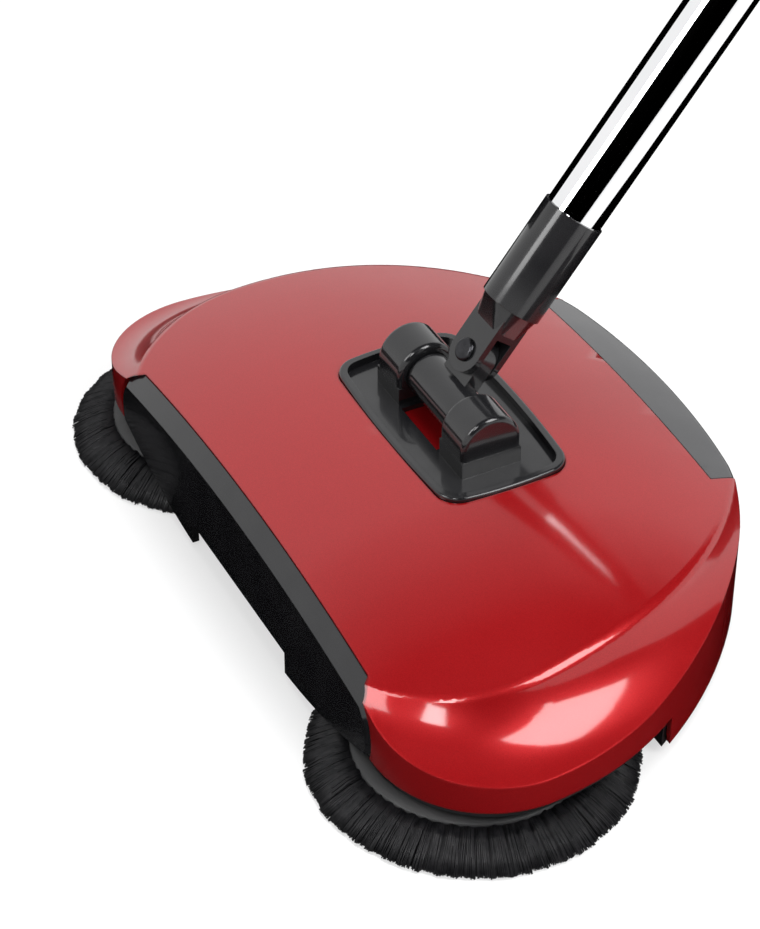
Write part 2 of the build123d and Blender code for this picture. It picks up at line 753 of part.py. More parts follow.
# Each strand droops from the backing ring to the floor, every second one shorter and higher
strands = []
for lift in (0.0, strand_stagger):
    root = Vector(hub_radius - backing_depth / 2, 0, hub_low_z + strand_thickness + lift)
    slope = math.atan2(root.Z - floor_gap - strand_thickness / 2 - lift, brush_radius - root.X)
    tip = Vector(brush_radius - lift - strand_thickness / 2 * math.sin(slope), 0,
                 floor_gap + lift + strand_thickness / 2 * math.cos(slope))
    with BuildPart() as strand:
        with BuildSketch(Plane(origin=root, x_dir=(0, 1, 0), z_dir=tip - root)):
            Rectangle(strand_root_width, strand_thickness)
        with BuildSketch(Plane(origin=tip, x_dir=(0, 1, 0), z_dir=tip - root)):
            Rectangle(strand_tip_width, strand_thickness)
        loft(ruled=True)
    strands.append(strand.part)

with BuildPart() as brush_ring:
    with BuildSketch(Plane.XY.offset(hub_low_z)):
        Circle(hub_radius)
        Circle(backing_radius, mode=Mode.SUBTRACT)
    extrude(amount=hub_height)
    step_angle = 360 / side_strands
    fan = [strands[index % 2].rotate(Axis.Z, index * step_angle) for index in range(side_strands)]
    add(fan)

with BuildPart() as right_bristles:
    with Locations((brush_x, 0, 0)):
        add(brush_ring.part)
save(right_bristles, "right_bristles")

right_hub_screw = screws([(brush_x, 0, hub_low_z)], (0, 0, 1), hub_height)
save(right_hub_screw, "right_hub_screw")

# Left-hand copies
for piece, name in (
    (right_wheel_hub, "wheel_hub"),
    (right_tyre, "tyre"),
    (right_wheel_axle, "wheel_axle"),
    (right_pinion, "pinion"),
    (right_bevel_gear, "bevel_gear"),
    (right_spindle, "spindle"),
    (right_brush_hub, "brush_hub"),
    (right_bristles, "bristles"),
    (right_hub_screw, "hub_screw"),
):
    with BuildPart() as left_copy:
        mirror(piece.part, about=Plane.YZ)
    save(left_copy, f"left_{name}")

# Dust box: a tray that widens behind the wheels, and the cap that closes the tail
tray_low_z = pan_top_z + seat
tray_half = chamber_wall_x - seat
tray_wide_half = bay_half - seat
with BuildPart() as dust_tray:
    with BuildSketch(Plane.XY.offset(tray_low_z)) as tray_sketch:
        with Locations((0, tray_front_y)):
            Rectangle(2 * tray_half, cap_front_y - tray_front_y, align=(Align.CENTER, Align.MIN))
        with Locations((0, bay_front_y + seat)):
            Rectangle(2 * tray_wide_half, cap_front_y - bay_front_y - seat, align=(Align.CENTER, Align.MIN))
    extrude(amount=tray_top_z - tray_low_z)
    with BuildSketch(Plane.XY.offset(tray_low_z + tray_wall)):
        add(offset(tray_sketch.sketch_local, amount=-tray_wall, kind=Kind.INTERSECTION, mode=Mode.PRIVATE))
    extrude(amount=tray_top_z, mode=Mode.SUBTRACT)
    with Locations((0, tray_front_y, tray_low_z + sill_height)):
        Box(2 * (tray_half - tray_wall), 2 * tray_wall, tray_top_z,
            align=(Align.CENTER, Align.CENTER, Align.MIN), mode=Mode.SUBTRACT)
    with Locations(Location((box_screw_x, cap_front_y, box_screw_z), (90, 0, 0)),
                   Location((-box_screw_x, cap_front_y, box_screw_z), (90, 0, 0))):
        Cylinder(screw_radius + running, 4 * tray_wall, mode=Mode.SUBTRACT)
save(dust_tray, "dust_tray")

cap_low_z = skirt_tail_z + base_wall / 2
with BuildPart() as cap_hollow:
    add(head_form(cap_wall))
    with Locations((0, cap_front_y, cap_low_z + cap_wall)):
        Box(2 * (tray_wide_half - cap_wall), big, big, align=(Align.CENTER, Align.MIN, Align.MIN),
            mode=Mode.INTERSECT)
    with Locations(Location((box_screw_x, cap_front_y, box_screw_z), (-90, 0, 0)),
                   Location((-box_screw_x, cap_front_y, box_screw_z), (-90, 0, 0))):
        Cylinder(boss_radius, big, align=(Align.CENTER, Align.CENTER, Align.MIN), mode=Mode.SUBTRACT)

with BuildPart() as dust_box_cap:
    add(outer_form)
    with Locations((0, cap_front_y, cap_low_z)):
        Box(2 * tray_wide_half, big, big, align=(Align.CENTER, Align.MIN, Align.MIN), mode=Mode.INTERSECT)
    top_face = dust_box_cap.faces().sort_by(Axis.Z)[-1]
    fillet(top_face.edges().sort_by(Axis.Y)[-1], cap_fillet)
    add(cap_hollow.part, mode=Mode.SUBTRACT)
    with BuildSketch(Plane.XZ.offset(-cap_front_y)):
        with Locations((0, pull_z)):
            SlotCenterToCenter(2 * pull_half, 2 * pull_radius)
    extrude(amount=-big, mode=Mode.SUBTRACT)
    with Locations(Location((box_screw_x, cap_front_y, box_screw_z), (90, 0, 0)),
                   Location((-box_screw_x, cap_front_y, box_screw_z), (90, 0, 0))):
        Cylinder(screw_radius + running, 2 * screw_bite, mode=Mode.SUBTRACT)
save(dust_box_cap, "dust_box_cap")

box_screw_places = [(hand * box_screw_x, cap_front_y - tray_wall, box_screw_z) for hand in (1, -1)]
dust_box_screws = screws(box_screw_places, (0, 1, 0), tray_wall + screw_bite - joint_gap)
save(dust_box_screws, "dust_box_screws")

# Handle plate with two saddles, and the caps over them
block_mid_x = block_inner_x + block_length / 2
with BuildPart() as handle_plate:
    with BuildSketch(Plane.XY.offset(pocket_z)):
        add(plate_outline(0))
    extrude(amount=plate_rim_z - pocket_z)
    fillet(handle_plate.edges().group_by(Axis.Z)[-1], plate_fillet)
    with BuildSketch(Plane.XY.offset(plate_floor_z)):
        add(plate_outline(-plate_rim_width))
    extrude(amount=plate_rim_z, mode=Mode.SUBTRACT)
    for hand in (1, -1):
        with Locations((hand * block_mid_x, axle_y, plate_floor_z)):
            Box(block_length, 2 * block_radius, saddle_top_z - plate_floor_z,
                align=(Align.CENTER, Align.CENTER, Align.MIN))
        with Locations((hand * block_mid_x, axle_y + pivot_screw_y, 0),
                       (hand * block_mid_x, axle_y - pivot_screw_y, 0)):
            Cylinder(screw_radius + running, 4 * crown_z, mode=Mode.SUBTRACT)
    with Locations((0, axle_y, plate_floor_z)):
        Box(2 * (block_inner_x - base_wall), 2 * block_radius, 4 * plate_thickness, mode=Mode.SUBTRACT)
save(handle_plate, "handle_plate")

with BuildPart() as right_pivot_cap:
    with BuildSketch(cross_plane(block_inner_x, axle_y, 0)):
        with Locations((0, axle_z)):
            Circle(block_radius)
        with Locations((0, saddle_top_z)):
            Rectangle(2 * block_radius, axle_z - saddle_top_z, align=(Align.CENTER, Align.MIN))
        with Locations((0, saddle_top_z)):
            Rectangle(4 * block_radius, block_radius, align=(Align.CENTER, Align.MAX), mode=Mode.SUBTRACT)
    extrude(amount=block_length)
    fillet(right_pivot_cap.edges().filter_by(GeomType.CIRCLE), block_fillet)
    with BuildSketch(cross_plane(block_inner_x, axle_y, axle_z)):
        Circle(axle_radius + running)
    extrude(amount=block_length - cover_wall - joint_gap, mode=Mode.SUBTRACT)
    with Locations((block_mid_x, axle_y + pivot_screw_y, saddle_top_z),
                   (block_mid_x, axle_y - pivot_screw_y, saddle_top_z)):
        Cylinder(screw_radius + running, 2 * (axle_z - saddle_top_z + axle_radius), mode=Mode.SUBTRACT)
save(right_pivot_cap, "right_pivot_cap")

with BuildPart() as left_pivot_cap:
    mirror(right_pivot_cap.part, about=Plane.YZ)
save(left_pivot_cap, "left_pivot_cap")

pivot_screw_places = [(side * block_mid_x, axle_y + hand * pivot_screw_y, pocket_z - cover_wall)
                      for side in (1, -1) for hand in (1, -1)]
pivot_screws = screws(pivot_screw_places, (0, 0, 1), axle_z + axle_radius - joint_gap - pocket_z + cover_wall)
save(pivot_screws, "pivot_screws")

axle_half = block_inner_x + block_length - cover_wall - 2 * joint_gap
with BuildPart() as pivot_axle:
    with BuildSketch(cross_plane(-axle_half, axle_y, axle_z)):
        Circle(axle_radius)
    extrude(amount=2 * axle_half)
save(pivot_axle, "pivot_axle")

# Knuckle: a barrel on the axle and a tongue up to the cross pin
tongue_round = ear_half - 2 * joint_gap
pin_fit = pin_radius + running
with BuildPart() as knuckle:
    with BuildSketch(cross_plane(knuckle_gap - block_inner_x, axle_y, axle_z)):
        Circle(knuckle_radius)
    extrude(amount=2 * (block_inner_x - knuckle_gap))
    fillet(knuckle.edges().filter_by(GeomType.CIRCLE), knuckle_fillet)
    with BuildSketch(ear_plane):
        with Locations((0, pin_reach)):
            Circle(tongue_round)
        Rectangle(2 * tongue_round, pin_reach, align=(Align.CENTER, Align.MIN))
    extrude(amount=tongue_half, both=True)
    with BuildSketch(ear_plane):
        with Locations((0, pin_reach)):
            Circle(pin_fit)
    extrude(amount=knuckle_radius, both=True, mode=Mode.SUBTRACT)
    with BuildSketch(cross_plane(-block_inner_x, axle_y, axle_z)):
        Circle(axle_radius + running)
    extrude(amount=2 * block_inner_x, mode=Mode.SUBTRACT)
save(knuckle, "knuckle")

ear_inner = tongue_half + joint_gap
ear_outer = ear_inner + ear_thickness
rivet_radius = pin_radius + rivet_lip
pin_origin = ear_plane.from_local_coords((0, pin_reach, 0))
pin_plane = Plane(origin=pin_origin, x_dir=(1, 0, 0), z_dir=across)
with BuildPart() as cross_pin:
    with BuildSketch(pin_plane.offset(-ear_outer - joint_gap)):
        Circle(pin_radius)
    extrude(amount=2 * (ear_outer + joint_gap))
    for direction in (1, -1):
        with BuildSketch(pin_plane.offset(direction * (ear_outer + joint_gap))):
            Circle(rivet_radius)
        extrude(amount=direction * rivet_height)
    circles = cross_pin.edges().filter_by(GeomType.CIRCLE)
    rims = circles.sort_by(lambda edge: abs(pin_plane.to_local_coords(edge.center()).Z))
    fillet(rims[-2:], rivet_fillet)
save(cross_pin, "cross_pin")

# Socket with a fork over the tongue
socket_radius = tube_radius + running + socket_wall
with BuildPart() as socket_yoke:
    for low in (ear_inner, -ear_outer):
        with BuildSketch(ear_plane.offset(low)):
            with Locations((0, pin_reach)):
                Circle(ear_half)
                Rectangle(2 * ear_half, socket_start - pin_reach, align=(Align.CENTER, Align.MIN))
        extrude(amount=ear_thickness)
    with BuildSketch(ear_plane.offset(-ear_outer)):
        with Locations((0, yoke_base)):
            Rectangle(2 * ear_half, socket_start - yoke_base, align=(Align.CENTER, Align.MIN))
    extrude(amount=2 * ear_outer)
    with BuildSketch(handle_plane.offset(yoke_base + ear_thickness)):
        RectangleRounded(2 * ear_half, 2 * ear_outer, ear_outer / 2)
    with BuildSketch(handle_plane.offset(socket_start)):
        neck_width = 2 * socket_radius - ear_thickness
        RectangleRounded(neck_width, neck_width, socket_radius - ear_thickness)
    loft()
    with BuildSketch(handle_plane.offset(socket_start)):
        Circle(socket_radius)
    extrude(amount=socket_end - socket_start)
    with BuildSketch(ear_plane):
        with Locations((0, pin_reach)):
            Circle(pin_fit)
    extrude(amount=socket_radius, both=True, mode=Mode.SUBTRACT)
    with BuildSketch(handle_plane.offset(tube_start)):
        Circle(tube_radius + running)
    extrude(amount=socket_end, mode=Mode.SUBTRACT)
save(socket_yoke, "socket_yoke")

# Tube sections and their screw couplers
spigot_radius = tube_radius - tube_wall - running
starts = [tube_start + index * (tube_length + coupler_ring) for index in range(3)]
for start, name in zip(starts, ("lower_tube", "middle_tube", "upper_tube")):
    with BuildPart() as tube:
        with BuildSketch(handle_plane.offset(start)):
            Circle(tube_radius)
            Circle(tube_radius - tube_wall, mode=Mode.SUBTRACT)
        extrude(amount=tube_length)
    save(tube, name)

for start, name in zip(starts, ("lower_coupler", "upper_coupler")):
    ring_start = start + tube_length
    with BuildPart() as coupler:
        with BuildSketch(handle_plane.offset(ring_start)):
            Circle(tube_radius + socket_wall)
        extrude(amount=coupler_ring)
        with BuildSketch(handle_plane.offset(ring_start - coupler_spigot)):
            Circle(spigot_radius)
        extrude(amount=2 * coupler_spigot + coupler_ring)
        with BuildSketch(handle_plane.offset(ring_start - coupler_spigot)):
            Circle(spigot_radius - base_wall)
        extrude(amount=2 * coupler_spigot + coupler_ring, mode=Mode.SUBTRACT)
    save(coupler, name)

# Grip and end cap with a hang hole
handle_end = starts[-1] + tube_length
with BuildPart() as grip:
    with BuildSketch(handle_plane.offset(handle_end - grip_length)):
        Circle(grip_radius)
    extrude(amount=grip_length)
    fillet(grip.edges().filter_by(GeomType.CIRCLE), grip_fillet)
    with BuildSketch(handle_plane.offset(handle_end - grip_length)):
        Circle(tube_radius + running)
    extrude(amount=grip_length, mode=Mode.SUBTRACT)
save(grip, "grip")

tab_half = tube_radius
hang_reach = handle_end + coupler_ring + end_tab_length - tab_half
with BuildPart() as end_cap:
    with BuildSketch(handle_plane.offset(handle_end)):
        Circle(grip_radius)
    extrude(amount=coupler_ring)
    with BuildSketch(handle_plane.offset(handle_end - coupler_spigot)):
        Circle(spigot_radius)
    extrude(amount=coupler_spigot)
    side_plane = Plane(origin=(0, axle_y, axle_z), x_dir=handle_plane.y_dir, z_dir=(1, 0, 0))
    with BuildSketch(side_plane):
        with Locations((0, hang_reach)):
            Circle(tab_half)
            Rectangle(2 * tab_half, hang_reach - handle_end, align=(Align.CENTER, Align.MAX))
    extrude(amount=end_tab_thickness / 2, both=True)
    with BuildSketch(side_plane):
        with Locations((0, hang_reach)):
            Circle(hang_radius)
    extrude(amount=end_tab_thickness, both=True, mode=Mode.SUBTRACT)
save(end_cap, "end_cap")
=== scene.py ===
"""Looks of the push sweeper: studio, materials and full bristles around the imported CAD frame, in metres."""

import json
import math
import random

import bpy
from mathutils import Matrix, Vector


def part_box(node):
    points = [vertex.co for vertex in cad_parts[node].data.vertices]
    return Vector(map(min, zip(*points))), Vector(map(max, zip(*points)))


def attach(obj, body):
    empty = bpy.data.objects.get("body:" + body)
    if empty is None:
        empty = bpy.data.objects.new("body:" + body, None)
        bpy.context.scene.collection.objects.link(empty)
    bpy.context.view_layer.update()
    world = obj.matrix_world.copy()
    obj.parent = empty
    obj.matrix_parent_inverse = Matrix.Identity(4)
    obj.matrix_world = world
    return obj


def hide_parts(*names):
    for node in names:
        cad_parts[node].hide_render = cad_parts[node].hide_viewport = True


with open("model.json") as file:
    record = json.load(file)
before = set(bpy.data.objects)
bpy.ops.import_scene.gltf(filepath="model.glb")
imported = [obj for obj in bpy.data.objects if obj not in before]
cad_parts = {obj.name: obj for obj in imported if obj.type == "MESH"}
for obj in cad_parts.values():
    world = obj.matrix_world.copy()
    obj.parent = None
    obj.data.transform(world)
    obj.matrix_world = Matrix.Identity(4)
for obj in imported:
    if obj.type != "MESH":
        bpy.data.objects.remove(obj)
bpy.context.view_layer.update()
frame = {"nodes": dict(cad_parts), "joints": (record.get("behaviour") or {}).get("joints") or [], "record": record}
nodes = frame["nodes"]
scene = bpy.context.scene
joints = {joint["name"]: joint for joint in frame["joints"]}

# Camera of the photograph
CAMERA_AT = Vector((0.8164, -0.3958, 0.7913))
CAMERA_TARGET = Vector((-0.06066, 0.05044, 0.0))
CAMERA_LENS_MM = 110.44
CAMERA_SENSOR_MM = 36.0
CAMERA_CLIP_END = 20

# Side brushes: counts, the tuft ring's section, then the strands' places, sizes and strays
SIDE_TUFTS = 58
SIDE_TUFT_STRANDS = 44
STRAND_SIDES = 3
RING_WIDTH = 0.006
RING_TUCK = 0.0005
RING_CHAMFER = 0.0006
RING_SIDE_TOP = 0.0018
RING_SHOULDER = 0.0025
RING_SHOULDER_INSET = 0.0008
RING_COLLAR = 0.001
RING_TOP_GAP = 0.0003
RING_SIDES = 120
TUFT_TUCK = 0.001
TUFT_PLEAT = 0.0006
TUFT_SHORTFALL = 0.0012
TUFT_CROWN = 0.0018
CROWN_START = 0.4
CROWN_RISE = 2
CROWN_SHED = 0.6
FAN_SPREAD = 0.12
FAN_STRAY = 0.01
STRAND_SHARES = (0, 0.35, 0.7, 1)
STRAND_STRAY = 0.0003
STRAND_HALF = 0.00042
STRAND_TAPER = 0.00014
TIP_GAP = 0.0006
TIP_STRAY = 0.0007
TIP_HEIGHT = 0.0007
LOWEST = 0.0005
DROOP_SLOPE = 0.55
DROOP_BEND = 0.45

# Bed of lower strands under each fan
BED_STEPS = 6
BED_PLEAT = 0.0004
BED_BELOW = 0.0012
BED_INSET = 0.003
BED_TIP_HEIGHT = 0.0006

# Roller brush
ROLLER_SEED = 7
ROLLER_ROWS = 6
ROLLER_TUFTS = 27
ROLLER_TUFT_STRANDS = 16
ROLLER_END_GAP = 0.002
ROLLER_TIP_GAP = 0.0004
ROLLER_TIP_STRAY = 0.0006
ROLLER_SPREAD = 0.05
ROLLER_SLIDE = 0.0009
ROLLER_STRAND_SHARES = (0, 0.5, 1)
ROLLER_STRAND_HALF = 0.0003
ROLLER_STRAND_TAPER = 0.0001

# Studio: light of the white tent, and the floor, whose glow grows from near to far
SEEN_DIRECTLY = ("Is Camera Ray", "Is Glossy Ray", "Is Transmission Ray")
WORLD_LIGHT = 0.4
FLOOR_HALF = 6.0
FLOOR_DROP = 0.0002
FLOOR_GLOW = 0.6
FLOOR_NEAR = 0.5
FLOOR_FAR = 1.8

# Face of a card with four corners
ONE_FACE = [(0, 1, 2, 3)]

# Black flags: level cards as (low x, low y, high x, high y, z), and the curved cards around the tube as
# (start and end angle, low and high end along the tube, distance)
FLAG_FADE_START = -1.05
FLAG_FADE_END = -0.5
CEILING_FLAG = (-1.05, -1.3, 4.0, 4.0, 1.5)
FRONT_FLOOR_FLAG = (-0.5, -0.4, 0.32, 0.2, 0.002)
BACK_FLOOR_FLAG = (-0.9, 0.2, 0.15, 0.9, 0.002)
TUBE_MIDDLE = 0.2
TUBE_FLAG_STEPS = 16
TUBE_FRONT_FLAG = (-41, 50, -0.5, 0.15, 1.7)
TUBE_LEFT_FLAG = (-146, -96, -0.13, 0.16, 0.05)

# Lamps: place, target, width, height, watts
TOP_SOFTBOX = ((-0.2, 0.3, 2.2), (0, 0.05, 0), 1.4, 1.4, 42)
NEAR_SOFTBOX = ((0.80, 0.51, 1.06), (0.15, 0.02, 0.04), 0.62, 0.8, 15)
FRONT_SOFTBOX = ((0.70, -0.62, 1.1), (0.14, -0.03, 0.04), 0.22, 0.4, 4.0)
STRIP_SOFTBOX = ((0.0, -1.02, 1.2), (0.0, 0.2, 0.27), 0.5, 1.0, 11)

# Most of a noise texture's values lie between these
NOISE_LOW = 0.3
NOISE_HIGH = 0.7


def look_at(obj, target):
    """Turn a camera or lamp so that it faces a point."""
    obj.rotation_euler = (Vector(target) - obj.location).to_track_quat("-Z", "Y").to_euler()


def link(obj):
    """Put a new object into the scene."""
    scene.collection.objects.link(obj)
    return obj


def set_camera():
    """Camera at the photograph's place."""
    data = bpy.data.cameras.new("camera")
    data.lens = CAMERA_LENS_MM
    data.sensor_width = CAMERA_SENSOR_MM
    data.clip_end = CAMERA_CLIP_END
    camera = link(bpy.data.objects.new("camera", data))
    camera.location = CAMERA_AT
    look_at(camera, CAMERA_TARGET)
    scene.camera = camera


def area_lamp(name, place, target, width, height, power):
    """Softbox that the camera doesn't see."""
    data = bpy.data.lights.new(name, "AREA")
    data.shape = "RECTANGLE"
    data.size = width
    data.size_y = height
    data.energy = power
    lamp = link(bpy.data.objects.new(name, data))
    lamp.location = place
    look_at(lamp, target)
    lamp.visible_camera = False
    return lamp


def plain_mesh(name, vertices, faces):
    """New mesh object from points and faces."""
    mesh = bpy.data.meshes.new(name)
    mesh.from_pydata(vertices, [], faces)
    mesh.update()
    return link(bpy.data.objects.new(name, mesh))


def smooth(obj):
    """Shade a mesh smoothly."""
    for polygon in obj.data.polygons:
        polygon.use_smooth = True


class Shader:
    """One Principled material under construction."""

    def __init__(self, name, color, roughness, **sockets):
        self.material = bpy.data.materials.new(name)
        self.material.use_nodes = True
        self.tree = self.material.node_tree
        self.bsdf = self.tree.nodes["Principled BSDF"]
        self.bsdf.inputs["Base Color"].default_value = (*color, 1)
        self.bsdf.inputs["Roughness"].default_value = roughness
        for socket, value in sockets.items():
            self.bsdf.inputs[socket.replace("_", " ")].default_value = value
        self.coordinates = self.tree.nodes.new("ShaderNodeTexCoord")
        self.normal = None

    def noise(self, scale, detail=4.0, stretch=(1, 1, 1)):
        """Noise over the object's own coordinates, optionally stretched."""
        mapping = self.tree.nodes.new("ShaderNodeMapping")
        mapping.inputs["Scale"].default_value = stretch
        self.tree.links.new(self.coordinates.outputs["Object"], mapping.inputs["Vector"])
        texture = self.tree.nodes.new("ShaderNodeTexNoise")
        texture.inputs["Scale"].default_value = scale
        texture.inputs["Detail"].default_value = detail
        self.tree.links.new(mapping.outputs["Vector"], texture.inputs["Vector"])
        return texture.outputs["Fac"]

    def ramp(self, value, low, high):
        """Colour ramp between two colours over the middle of a noise's values."""
        node = self.tree.nodes.new("ShaderNodeValToRGB")
        node.color_ramp.elements[0].position = NOISE_LOW
        node.color_ramp.elements[0].color = (*low, 1)
        node.color_ramp.elements[1].position = NOISE_HIGH
        node.color_ramp.elements[1].color = (*high, 1)
        self.tree.links.new(value, node.inputs["Fac"])
        return node.outputs["Color"]

    def spread(self, value, low, high):
        """Map the middle of a noise's values to a range."""
        node = self.tree.nodes.new("ShaderNodeMapRange")
        node.inputs["From Min"].default_value = NOISE_LOW
        node.inputs["From Max"].default_value = NOISE_HIGH
        node.inputs["To Min"].default_value = low
        node.inputs["To Max"].default_value = high
        self.tree.links.new(value, node.inputs["Value"])
        return node.outputs["Result"]

    def feed(self, socket, output):
        """Link an output into one of the shader's sockets."""
        self.tree.links.new(output, self.bsdf.inputs[socket])

    def soften(self, radius):
        """Round the shading of sharp moulded edges, under the relief that bump adds next."""
        node = self.tree.nodes.new("ShaderNodeBevel")
        node.inputs["Radius"].default_value = radius
        self.normal = node.outputs["Normal"]

    def bump(self, value, strength, distance):
        """Add surface relief."""
        node = self.tree.nodes.new("ShaderNodeBump")
        node.inputs["Strength"].default_value = strength
        node.inputs["Distance"].default_value = distance
        self.tree.links.new(value, node.inputs["Height"])
        if self.normal is not None:
            self.tree.links.new(self.normal, node.inputs["Normal"])
        self.feed("Normal", node.outputs["Normal"])


def red_shell():
    """Candy red: fine metal flake under a clear coat, with a faint orange-peel skin."""
    shader = Shader("red_shell", (0.3, 0.004, 0.006), 0.34, Metallic=0.45, Specular_IOR_Level=0.2,
                    Coat_Weight=1.0, Coat_Roughness=0.09)
    flake = shader.noise(2600, 2)
    shader.feed("Base Color", shader.ramp(flake, (0.25, 0.002, 0.004), (0.36, 0.006, 0.008)))
    shader.feed("Roughness", shader.spread(shader.noise(35), 0.3, 0.38))
    shader.soften(0.0014)
    shader.bump(shader.noise(420, 1), 0.04, 0.0003)
    return shader.material


def gloss_black(name, color, roughness, tint):
    """Moulded black plastic with a polished skin, dulled unevenly by handling."""
    shader = Shader(name, color, roughness, Coat_Weight=0.6, Coat_Roughness=0.06, Specular_IOR_Level=0.3)
    shader.feed("Base Color", shader.ramp(shader.noise(60), color, tint))
    shader.feed("Roughness", shader.spread(shader.noise(90), roughness * 0.75, roughness * 1.3))
    shader.soften(0.0006)
    shader.bump(shader.noise(300, 1), 0.02, 0.0002)
    return shader.material


def satin_plastic(name, color, tint, roughness=0.48):
    """Spark-eroded moulded plastic: a fine even grain."""
    shader = Shader(name, color, roughness)
    shader.feed("Base Color", shader.ramp(shader.noise(45), color, tint))
    shader.feed("Roughness", shader.spread(shader.noise(120), roughness * 0.85, roughness * 1.15))
    shader.bump(shader.noise(2200, 2), 0.18, 0.0003)
    return shader.material


def polished_tube():
    """Polished steel with drawing marks along the handle."""
    shader = Shader("polished_tube", (0.86, 0.87, 0.88), 0.04, Metallic=1.0)
    marks = shader.noise(700, 2, (1, 0.04, 0.04))
    shader.feed("Roughness", shader.spread(marks, 0.025, 0.05))
    shader.feed("Base Color", shader.ramp(shader.noise(30), (0.84, 0.85, 0.86), (0.9, 0.9, 0.91)))
    return shader.material


def plain_steel(name, color, tint):
    """Turned or plated steel with fine scratches."""
    shader = Shader(name, color, 0.3, Metallic=1.0)
    shader.feed("Base Color", shader.ramp(shader.noise(200), color, tint))
    shader.feed("Roughness", shader.spread(shader.noise(1500, 3), 0.22, 0.42))
    shader.bump(shader.noise(1800, 2), 0.08, 0.0002)
    return shader.material


def rubber(name, color, tint):
    """Moulded rubber: matt, slightly dusty, with a pebbled skin."""
    shader = Shader(name, color, 0.72)
    shader.feed("Base Color", shader.ramp(shader.noise(70), color, tint))
    shader.feed("Roughness", shader.spread(shader.noise(160), 0.6, 0.85))
    shader.bump(shader.noise(1300, 3), 0.3, 0.0004)
    return shader.material


def bristle_nylon():
    """Black filament, slightly shiny, varying from strand to strand."""
    shader = Shader("bristle_nylon", (0.006, 0.006, 0.007), 0.45, Specular_IOR_Level=0.3)
    shades = shader.ramp(shader.noise(300, 2), (0.003, 0.003, 0.004), (0.012, 0.0115, 0.013))
    shader.feed("Base Color", shades)
    shader.feed("Roughness", shader.spread(shader.noise(500), 0.34, 0.55))
    return shader.material


materials = {
    "red_shell": red_shell(),
    "black_gloss": gloss_black("black_gloss", (0.007, 0.007, 0.008), 0.2, (0.011, 0.011, 0.012)),
    "black_plastic": satin_plastic("black_plastic", (0.012, 0.012, 0.013), (0.019, 0.019, 0.02)),
    "clear_smoke": gloss_black("smoke_tray", (0.055, 0.055, 0.058), 0.3, (0.075, 0.075, 0.078)),
    "gear_nylon": satin_plastic("gear_nylon", (0.78, 0.76, 0.7), (0.84, 0.82, 0.77), 0.4),
    "bush_nylon": satin_plastic("bush_nylon", (0.66, 0.66, 0.64), (0.72, 0.72, 0.7), 0.4),
    "bristle": bristle_nylon(),
    "rubber": rubber("tyre_rubber", (0.022, 0.022, 0.023), (0.036, 0.036, 0.036)),
    "soft_grip": rubber("foam_grip", (0.028, 0.028, 0.03), (0.04, 0.04, 0.042)),
    "glide_felt": rubber("glide_pad", (0.04, 0.04, 0.043), (0.055, 0.055, 0.058)),
    "tube_steel": polished_tube(),
    "pin_steel": plain_steel("pin_steel", (0.56, 0.56, 0.57), (0.64, 0.64, 0.65)),
    "black_oxide": plain_steel("black_oxide", (0.03, 0.03, 0.033), (0.05, 0.05, 0.054)),
    "trim_gloss": gloss_black("trim_gloss", (0.03, 0.03, 0.032), 0.12, (0.04, 0.04, 0.042)),
    "screw_zinc": plain_steel("screw_zinc", (0.5, 0.5, 0.5), (0.62, 0.62, 0.6)),
}

# Nodes that look different from the rest of their slot
OWN_LOOK = {"cross_pin": "black_oxide", "dust_box_cap": "trim_gloss"}


def dress_cad():
    """Give every CAD node the material of its slot, or its own."""
    for subpart in frame["record"]["subparts"]:
        data = nodes[subpart["node"]].data
        data.materials.clear()
        data.materials.append(materials[OWN_LOOK.get(subpart["node"], subpart["material_slot"])])


def strand_tubes(name, strands):
    """One mesh of thin tapered tubes; a strand is a list of (centre, half width) from root to tip."""
    vertices = []
    faces = []
    for strand in strands:
        base = len(vertices)
        run = (strand[-1][0] - strand[0][0]).normalized()
        side = run.orthogonal().normalized()
        other = run.cross(side)
        for centre, half in strand:
            for corner in range(STRAND_SIDES):
                angle = 2 * math.pi * corner / STRAND_SIDES
                vertices.append(centre + half * (math.cos(angle) * side + math.sin(angle) * other))
        for ring in range(len(strand) - 1):
            for corner in range(STRAND_SIDES):
                low = base + ring * STRAND_SIDES
                high = low + STRAND_SIDES
                after = (corner + 1) % STRAND_SIDES
                faces.append((low + corner, low + after, high + after, high + corner))
        faces.append(tuple(base + corner for corner in reversed(range(STRAND_SIDES))))
        top = base + (len(strand) - 1) * STRAND_SIDES
        faces.append(tuple(top + corner for corner in range(STRAND_SIDES)))
    tubes = plain_mesh(name, vertices, faces)
    tubes.data.materials.append(materials["bristle"])
    smooth(tubes)
    return tubes


def ring_mesh(name, centre, profile):
    """Ring around the vertical axis through centre; the profile is a closed loop of (radius, height)."""
    vertices = []
    faces = []
    count = len(profile)
    for step in range(RING_SIDES):
        angle = 2 * math.pi * step / RING_SIDES
        out = Vector((math.cos(angle), math.sin(angle), 0))
        vertices += [Vector((centre.x, centre.y, height)) + radius * out for radius, height in profile]
        here = count * step
        after = count * ((step + 1) % RING_SIDES)
        for corner in range(count):
            turn = (corner + 1) % count
            faces.append((here + corner, after + corner, after + turn, here + turn))
    ring = plain_mesh(name, vertices, faces)
    smooth(ring)
    return ring


def droop(share):
    """Share of its height that a side-brush strand has lost at a share of its length."""
    return share * (DROOP_SLOPE + DROOP_BEND * share)


